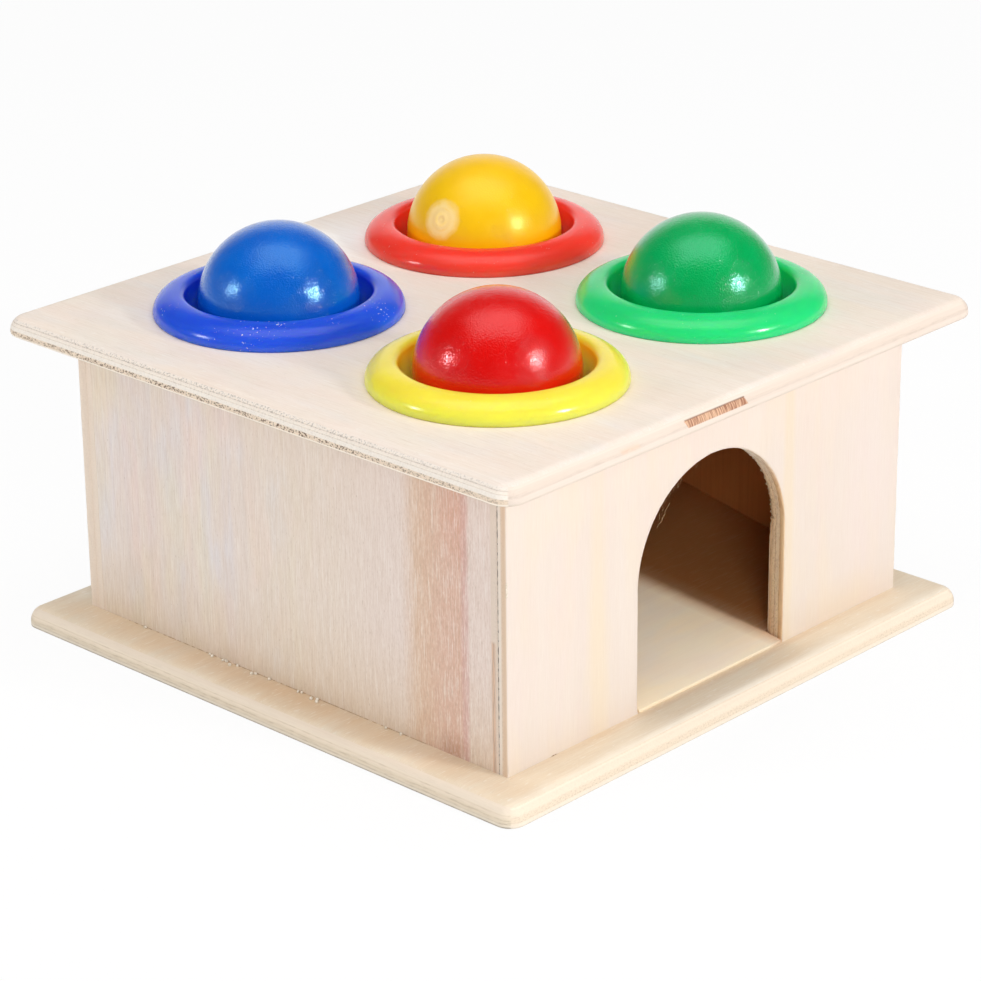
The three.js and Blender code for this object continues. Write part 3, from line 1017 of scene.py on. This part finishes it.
# inner and foot are painted light: the mouth's tint and the paler skin at the foot.
ringFinish = {
    "yellow": {"skin": "f9e04a", "inner": "ffc010", "foot": "fff85c",
               "dust": (0.15, 0.79), "round": "red_ball"},
    "green": {"skin": "28d27c", "inner": "0ed070", "foot": "2ce488",
              "dust": (0.2, 0.79), "round": "green_ball"},
    "blue": {"skin": "2555d6", "inner": "1838c8", "foot": "2c60ea",
             "dust": (0.9, 0.75), "round": "blue_ball"},
    "red": {"skin": "f23f30", "inner": "ff4034", "foot": "ff4c3a",
            "dust": (0.3, 0.79), "round": "yellow_ball"},
}


def ringProfile():
    mouthRound = ring["mouthRound"]
    footRound = ring["footRound"]
    crest = ring["mouthRadius"] + mouthRound
    crown = crest + ring["crownWidth"]
    rise = ring["crownHeight"] - ring["crownFoot"]
    lipHeight = ring["beadFoot"] + ring["lipThickness"]
    seatDrop = math.sqrt(ring["seatRadius"] ** 2 - ring["lipRadius"] ** 2)
    points = []
    for sin, cos in quarter(ring["footSteps"]):
        points.append((crown - footRound * (1 - sin), footRound * (1 - cos)))
    for sin, cos in quarter(ring["crownSteps"]):
        points.append((crest + ring["crownWidth"] * cos, ring["crownFoot"] + rise * sin))
    for sin, cos in quarter(ring["mouthSteps"], 1):
        points.append((crest - mouthRound * sin, ring["crownHeight"] - mouthRound * (1 - cos)))
    return points + [
        (ring["throatRadius"], -ring["throatDepth"]),
        (ring["lipRadius"] + ring["lipRun"], lipHeight + ring["lipRun"] * ring["lipRadius"] / seatDrop),
        (ring["lipRadius"], lipHeight),
        (ring["lipRadius"], ring["beadFoot"]),
        (ring["beadRadius"] - ring["beadChamfer"], ring["beadFoot"]),
        (ring["beadRadius"], ring["beadFoot"] + ring["beadChamfer"]),
        (ring["beadRadius"], ring["beadTop"]),
        (ring["neckRadius"], ring["beadTop"]),
        (ring["neckRadius"], 0),
    ]


class Group(Graph):
    # A Geometry Nodes tree with named inputs and one mesh as its result

    def __init__(self, name, wanted):
        super().__init__(bpy.data.node_groups.new(name, "GeometryNodeTree"))
        self.sockets = {label: self.socket(label, "INPUT", kind) for label, kind in wanted.items()}
        self.socket("Result", "OUTPUT", "Geometry")
        self.given = self.add("NodeGroupInput")

    def socket(self, label, side, kind):
        made = self.tree.interface.new_socket(name=label, in_out=side, socket_type="NodeSocket" + kind)
        return made.identifier

    def geometry(self, kind, **inputs):
        spaced = {key.replace("_", " "): value for key, value in inputs.items()}
        return self.add("GeometryNode" + kind, spaced)[0]

    def noise(self, scale):
        position = self.geometry("InputPosition")
        inputs = {"Vector": position, "W": self.given["Seed"], "Scale": scale, "Detail": 1.0}
        return position, self.add("ShaderNodeTexNoise", inputs, noise_dimensions="4D")

    def roughened(self, mesh, scale, amount):
        _, noisy = self.noise(scale)
        offset = self.vectors("SCALE", self.vectors("SUBTRACT", noisy[1], (0.5, 0.5, 0.5)), amount)
        return self.geometry("SetPosition", Geometry=mesh, Offset=offset)

    def randomVector(self, low, high):
        inputs = {0: self.given[low], 1: self.given[high], "Seed": self.given["Seed"]}
        return self.add("FunctionNodeRandomValue", inputs, data_type="FLOAT_VECTOR")[0]

    def finish(self, mesh):
        skinned = self.geometry("SetMaterial", Geometry=mesh, Material=self.given["Skin"])
        self.add("NodeGroupOutput", {0: skinned})
        return self


def latheGroup():
    g = Group("turnProfile", {"Profile": "Geometry", "Centre": "Vector", "Path radius": "Float",
                              "Segments": "Int", "Waver": "Float", "Seed": "Float", "Skin": "Material"})
    section = g.geometry("MeshToCurve", Mesh=g.given["Profile"])
    path = g.geometry("CurvePrimitiveCircle", Resolution=g.given["Segments"], Radius=g.given["Path radius"])
    swept = g.geometry("CurveToMesh", Curve=path, Profile_Curve=section)
    # A soft moulding isn't quite round, so it wavers a little outwards and inwards.
    position, wave = g.noise(60.0)
    amount = g.times(g.maths("SUBTRACT", wave[0], 0.5), g.given["Waver"])
    outwards = g.vectors("NORMALIZE", g.vectors("MULTIPLY", position, (1, 1, 0)))
    wavered = g.geometry("SetPosition", Geometry=swept, Offset=g.vectors("SCALE", outwards, amount))
    placed = g.geometry("Transform", Geometry=wavered, Translation=g.given["Centre"])
    return g.finish(g.geometry("RealizeInstances", Geometry=placed))


def places(name, points, edges=()):
    # An object of bare points, or of a line through them, for a group to grow on
    mesh = bpy.data.meshes.new(name)
    mesh.from_pydata([millimetres(point) for point in points], edges, [])
    return newObject(name, mesh)


def grown(source, group, values):
    # Runs a group on an object and gives its result as a plain mesh.
    modifier = source.modifiers.new("grow", "NODES")
    modifier.node_group = group.tree
    for label, value in values.items():
        modifier[group.sockets[label]] = value
    source.update_tag()
    graph = bpy.context.evaluated_depsgraph_get()
    made = bpy.data.meshes.new_from_object(source.evaluated_get(graph))
    source.modifiers.remove(modifier)
    line = source.data
    bpy.data.objects.remove(source)
    bpy.data.meshes.remove(line)
    bm = bmesh.new()
    bm.from_mesh(made)
    bpy.data.meshes.remove(made)
    return finishMesh(bm, "grown", 40)


def ringMaterial(name, shift, finish, centre):
    g = Finish(name)
    skin = colour(finish["skin"])
    deeper = (skin[0] * 0.94, skin[1] * 0.93, skin[2] * 0.93, 1)
    shade = g.mix(g.spread(g.cells(8, (shift, 0, 0), 2), 0.35, 0.65), skin, deeper)
    # The mouth is painted its own tint: painted reflection and shade, standing in for the held ball's
    # colour, light through the plastic and the shade inside.
    flatCoords = g.vectors("MULTIPLY", g.coords, (1, 1, 0))
    fromAxis = g.vectors("DISTANCE", flatCoords, (centre.x, centre.y, 0))
    mouth = ring["mouthRadius"] * mm
    shade = g.mix(g.spread(fromAxis, mouth, mouth + 0.6 * mm, 0.8, 0), shade, finish["inner"])
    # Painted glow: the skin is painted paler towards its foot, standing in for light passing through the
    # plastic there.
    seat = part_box("top_plate")[1].z
    low, high = (seat + height * mm for height in ring["footGlow"])
    shade = g.mix(g.spread(g.split(g.coords)["Z"], low, high, 1, 0), shade, finish["foot"])
    share, least = finish["dust"]
    dust = g.spread(g.cells(0.42, (0, shift, 0), 0), least, 0.82, 0, share)
    dustMask = g.times(dust, g.spread(g.cells(9, (0, shift, 4), 1), 0.5, 0.6))
    g.give("Base Color", g.mix(dustMask, shade, "e8e4dc"))
    g.give("Roughness", g.spread(g.cells(4, (0, 0, shift), 3), 0.3, 0.7, 0.15, 0.24))
    g.give("Subsurface Weight", 0.8)
    g.give("Subsurface Radius", skin[:3])
    g.give("Subsurface Scale", 7 * mm)
    relief = g.scaled(dustMask, 0.5, g.cells(2.4, (shift, shift, 0), 3, 0.55))
    g.bump(relief, 0.7, 0.06 * mm)
    return g.material


def makeRings():
    group = latheGroup()
    pathRadius = ring["mouthRadius"] + ring["mouthRound"]
    # Curve to Mesh lays a profile's X outwards and its Y downwards.
    section = [(radius - pathRadius, -height, 0) for radius, height in ringProfile()]
    edges = [(i, (i + 1) % len(section)) for i in range(len(section))]
    for number, (name, finish) in enumerate(ringFinish.items()):
        centre = stationCentre(finish["round"]) * mm
        slot = "ring_" + name
        material = ringMaterial(slot, number + 1, finish, centre)
        mesh = grown(places("ringSection", section, edges), group, {
            "Centre": (centre.x, centre.y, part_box("top_plate")[1].z),
            "Path radius": pathRadius * mm,
            "Segments": ring["segments"],
            "Waver": ring["waver"] * mm,
            "Seed": number + 1.0,
            "Skin": material,
        })
        standIn(name + "Elastic_ring", mesh, name + "_ring", material)


makeRings()
print("rings made")


# Dried glue at the foot of the walls and torn fibres round the doorway, scattered by Geometry Nodes

beads = {
    # colour, places, and the group's inputs
    "pale": ("fffaf0", [(-58.05 - x, y, 4.1) for x, y in (
        (0, 41), (0, 22), (0.3, 21), (0.1, 18), (0, 17.2), (0.7, 15.5), (0, 14), (0.5, 9.5), (0.1, 8.8),
        (0, 5), (0.2, -3.2), (0, -4), (0.6, -7.2), (0.1, -8.4), (0.9, -9), (0.1, -26.8), (0.1, -30.8))],
        {"Smallest": (0.25, 0.25, 0.25), "Largest": (0.38, 0.44, 0.38), "Roughen": 0.12, "Seed": 4}),
    "corner": ("fff6ea", [(-57.7, -57.75, 40 + 0.35 * step) for step in range(8)],
               {"Smallest": (0.14, 0.14, 0.18), "Largest": (0.22, 0.22, 0.4), "Roughen": 0.16, "Seed": 9}),
    "dark": ("d9bc9c", [(-57.75, 46 - 2.1 * step, 3.97) for step in range(40)],
             {"Smallest": (0.05, 0.2, 0.04), "Largest": (0.1, 1.5, 0.08), "Roughen": 0.1, "Seed": 21}),
    "jointDark": ("4c3c2e", [(-57.71, -55.6, 6 + 1.9 * step) for step in range(29)],
                  {"Smallest": (0.03, 0.04, 0.1), "Largest": (0.05, 0.08, 1.0), "Roughen": 0.05,
                   "Seed": 14}),
    "frontDark": ("c0a080", [(x, -57.78, 4.0) for x in (-45.6, -44.9)],
                  {"Smallest": (0.2, 0.05, 0.04), "Largest": (0.5, 0.12, 0.1), "Roughen": 0.1, "Seed": 30}),
}

fibres = {
    # depth behind the wall's face, places across and up, and the group's inputs
    "fringe": (0.15, [(-5.1, 49.7), (-9.4, 48.2), (-10.4, 47.6), (-11.3, 47), (-12.6, 46.1), (-13.6, 45.3),
                      (-14.7, 44.3), (-15.8, 43.2)],
               {"Shortest": (0.7, 0.7, 0.7), "Longest": (1.5, 1.5, 1.5),
                "Turn low": (0, -3.0, -0.4), "Turn high": (0.5, -1.8, 0.4), "Seed": 6}),
    "thread": (0.1, [(-13.2, 44.4), (-14.6, 42.6)],
               {"Shortest": (2.6, 2.6, 2.6), "Longest": (3.6, 3.6, 3.6),
                "Turn low": (0, -2.7, 0), "Turn high": (0, -2.3, 0), "Seed": 12}),
    "jamb": (3.3, [(1.5, 50.4), (4, 50.1), (7.4, 49.1), (10.5, 47.6), (13, 45.9), (15.5, 43.6), (17.6, 41),
                   (19.2, 38.2), (20.4, 35.2), (21.2, 32.2)],
             {"Shortest": (0.4, 0.4, 0.4), "Longest": (0.9, 0.9, 0.9),
              "Turn low": (0.6, -0.8, -1.2), "Turn high": (2.4, 0.8, 1.2), "Seed": 8}),
}
strand = {"Thickness": 0.018, "Curl": 0.9, "Steps": 9, "Sides": 5}
fibreShade = "e2c49a"
crumbScale = 2500.0
curlScale = 1500.0
notLengths = ("Seed", "Steps", "Sides", "Turn low", "Turn high")  # the other inputs are millimetres


def beadGroup():
    g = Group("glueBeads", {"Places": "Geometry", "Smallest": "Vector", "Largest": "Vector",
                            "Roughen": "Float", "Seed": "Int", "Skin": "Material"})
    drop = g.geometry("MeshIcoSphere", Radius=1.0, Subdivisions=2)
    size = g.randomVector("Smallest", "Largest")
    placed = g.geometry("InstanceOnPoints", Points=g.given["Places"], Instance=drop, Scale=size)
    real = g.geometry("RealizeInstances", Geometry=placed)
    return g.finish(g.roughened(real, crumbScale, g.given["Roughen"]))


def fibreGroup():
    g = Group("tornFibres", {"Places": "Geometry", "Shortest": "Vector", "Longest": "Vector",
                             "Turn low": "Vector", "Turn high": "Vector", "Thickness": "Float",
                             "Curl": "Float", "Steps": "Int", "Sides": "Int", "Seed": "Int",
                             "Skin": "Material"})
    line = g.geometry("CurvePrimitiveLine", Start=(0, 0, 0), End=(0, 0, 1))
    line = g.geometry("ResampleCurve", Curve=line, Count=g.given["Steps"])
    size = g.randomVector("Shortest", "Longest")
    turn = g.randomVector("Turn low", "Turn high")
    placed = g.geometry("InstanceOnPoints", Points=g.given["Places"], Instance=line,
                        Rotation=turn, Scale=size)
    curly = g.roughened(g.geometry("RealizeInstances", Geometry=placed), curlScale, g.given["Curl"])
    section = g.geometry("CurvePrimitiveCircle", Resolution=g.given["Sides"], Radius=g.given["Thickness"])
    return g.finish(g.geometry("CurveToMesh", Curve=curly, Profile_Curve=section, Fill_Caps=True))


def bitsMaterial(name, shade, roughness):
    g = Finish(name)
    base = colour(shade)
    cloud = g.cells(0.3)
    deeper = (base[0] * 0.75, base[1] * 0.7, base[2] * 0.62, 1)
    g.give("Base Color", g.mix(g.spread(cloud, 0.35, 0.65), base, deeper))
    g.give("Roughness", g.spread(cloud, 0.3, 0.7, roughness, roughness + 0.15))
    g.bump(cloud, 0.5, 0.02 * mm)
    return g.material


def makeBit(name, points, group, inputs, material):
    values = {"Skin": material}
    for label, value in inputs.items():
        if label not in notLengths:
            value = millimetres(value) if isinstance(value, tuple) else value * mm
        values[label] = value
    made = newObject(name, grown(places("bitPlaces", points), group, values), material)
    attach(made, box)


def makeBits():
    group = beadGroup()
    for name, (shade, points, inputs) in beads.items():
        makeBit("glue_" + name, points, group, inputs, bitsMaterial(name + "Glue", shade, 0.15))
    group = fibreGroup()
    material = bitsMaterial("tornFibre", fibreShade, 0.6)
    for name, (depth, spots, inputs) in fibres.items():
        points = [(x, wallFront + depth, z) for x, z in spots]
        makeBit("fibres_" + name, points, group, {**inputs, **strand}, material)


makeBits()
print("glue and fibres made")


# Floor, lamps and the white surroundings

studio = dict(
    # mirrored is what glossy surfaces see of the room
    aim=(0, 0, 40), distance=900, ambient=0.35, floorHalf=3, floorKeep=0.08,
    floorShades=("f8f8f8", "efefef"),
    mirrored={"behind": 0.9, "edge": (0.74, 0.95), "low": 0.2, "above": 0.03, "rise": (0.05, 0.25)},
)

above = {"azimuth": -46.56, "elevation": 86, "shape": "RECTANGLE"}
lamps = {
    "keyLamp": {"azimuth": 10.5, "elevation": 23.5, "size": (120, 120), "level": 86,
                "tint": (1, 0.985, 0.965)},
    "leftLamp": {"azimuth": -120, "elevation": 21, "size": (110, 110), "level": 46, "tint": (0.97, 0.98, 1)},
    "fillLamp": {"azimuth": -39, "elevation": 24, "size": (300, 300), "level": 7, "tint": (1, 0.99, 0.975),
                 "unseen": True},
    "overheadLamp": {**above, "size": (1170, 780), "level": 0.84, "tint": (1, 0.99, 0.98), "unseen": True},
    "skyLamp": {**above, "size": (1170, 780), "level": 0.45, "nearer": 25, "tint": (1, 0.99, 0.98)},
    "patchLamp": {**above, "size": (780, 560), "level": 0.85, "nearer": 50, "tint": (1, 0.99, 0.97)},
}


def makeLamp(name, lamp):
    data = bpy.data.lights.new(name, "AREA")
    data.shape = lamp.get("shape", "DISK")
    data.size, data.size_y = millimetres(lamp["size"])
    area = data.size * data.size_y * (math.pi / 4 if data.shape == "DISK" else 1)
    data.energy = lamp["level"] * math.pi * area
    data.color = lamp["tint"]
    made = bpy.data.objects.new(name, data)
    bpy.context.scene.collection.objects.link(made)
    towards = directionTo(lamp["azimuth"], lamp["elevation"])
    made.location = Vector(studio["aim"]) * mm + towards * (studio["distance"] - lamp.get("nearer", 0)) * mm
    made.rotation_mode = "QUATERNION"
    made.rotation_quaternion = towards.to_track_quat("Z", "Y")
    made.visible_camera = False
    made.visible_glossy = not lamp.get("unseen", False)


def makeFloor():
    half = studio["floorHalf"]
    under = -0.05 * mm
    mesh = bpy.data.meshes.new("floor")
    corners = [(-half, -half, under), (half, -half, under), (half, half, under), (-half, half, under)]
    mesh.from_pydata(corners, [], [(0, 1, 2, 3)])
    material = bpy.data.materials.new("floorPaper")
    g = Graph(emptied(material))
    paths = g.add("ShaderNodeLightPath")
    seen = g.maths("MAXIMUM", paths["Is Glossy Ray"], paths["Is Transmission Ray"])
    keep = g.times(g.maths("MAXIMUM", paths["Is Camera Ray"], seen), 1 - studio["floorKeep"])
    coords = g.add("ShaderNodeTexCoord")["Object"]
    mottle = g.add("ShaderNodeTexNoise", {"Vector": coords, "Scale": 3})[0]
    matt = g.add("ShaderNodeBsdfDiffuse", {"Color": g.mix(mottle, *studio["floorShades"])})[0]
    white = g.add("ShaderNodeEmission", {"Color": (1, 1, 1, 1), "Strength": 1.0})[0]
    both = g.add("ShaderNodeMixShader", {0: keep, 1: matt, 2: white})[0]
    g.add("ShaderNodeOutputMaterial", {"Surface": both})
    newObject("floor", mesh, material)


def makeWorld():
    world = bpy.data.worlds.new("studioWorld")
    bpy.context.scene.world = world
    g = Graph(emptied(world))
    paths = g.add("ShaderNodeLightPath")
    direction = g.add("ShaderNodeTexCoord")["Generated"]
    backwards = g.vectors("DOT_PRODUCT", direction, -directionTo(camera["azimuth"], 0))
    mirror = studio["mirrored"]
    behind = g.spread(backwards, *mirror["edge"], 0, mirror["behind"])
    low = g.spread(g.split(direction)["Z"], *mirror["rise"], mirror["low"], mirror["above"])
    bounced = g.maths("MAXIMUM", paths["Is Glossy Ray"], paths["Is Transmission Ray"])
    strength = g.mixValue(bounced, studio["ambient"], g.maths("MAXIMUM", behind, low))
    strength = g.mixValue(paths["Is Camera Ray"], strength, 1.0)
    background = g.add("ShaderNodeBackground", {"Color": (1, 1, 1, 1), "Strength": strength})[0]
    g.add("ShaderNodeOutputWorld", {"Surface": background})


makeFloor()
makeWorld()
for name, lamp in lamps.items():
    makeLamp(name, lamp)
bpy.context.scene.view_settings.view_transform = "Standard"
print("studio made")
